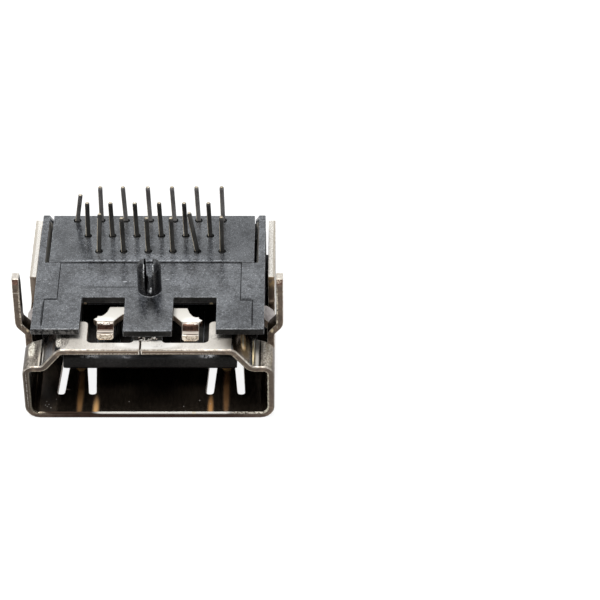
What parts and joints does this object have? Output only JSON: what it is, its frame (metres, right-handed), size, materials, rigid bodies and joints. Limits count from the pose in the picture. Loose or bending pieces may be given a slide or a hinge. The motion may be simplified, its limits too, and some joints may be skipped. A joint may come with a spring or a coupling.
{
  "type": "hdmi connector",
  "caption": "Right-angle through-hole video socket: folded D-shaped metal shell with spring fingers and board legs, dark insulator with a split locating peg and staggered contact tails.",
  "frame": {"origin": "centre of the bounding box, on the wide side of the shell that it lies on", "axes": "-Y out of the mouth, +Z towards the board that it is soldered to, +X to the right seen from the mouth"},
  "size_m": [0.016, 0.0126, 0.0089],
  "materials": {
    "shell_metal": "satin nickel plating",
    "insulator_plastic": "dark blue-grey, fine moulded texture",
    "plate_plastic": "dark blue-grey, fine moulded texture",
    "contact_metal": "tarnished plating, bright tips"
  },
  "bodies": {
    "root": {"shell": "shell_metal", "insulator": "insulator_plastic", "tail_plate": "plate_plastic", "contact_01": "contact_metal", "contact_02": "contact_metal", "contact_03": "contact_metal", "contact_04": "contact_metal", "contact_05": "contact_metal", "contact_06": "contact_metal", "contact_07": "contact_metal", "contact_08": "contact_metal", "contact_09": "contact_metal", "contact_10": "contact_metal", "contact_11": "contact_metal", "contact_12": "contact_metal", "contact_13": "contact_metal", "contact_14": "contact_metal", "contact_15": "contact_metal", "contact_16": "contact_metal", "contact_17": "contact_metal", "contact_18": "contact_metal", "contact_19": "contact_metal"}
  },
  "joints": []
}
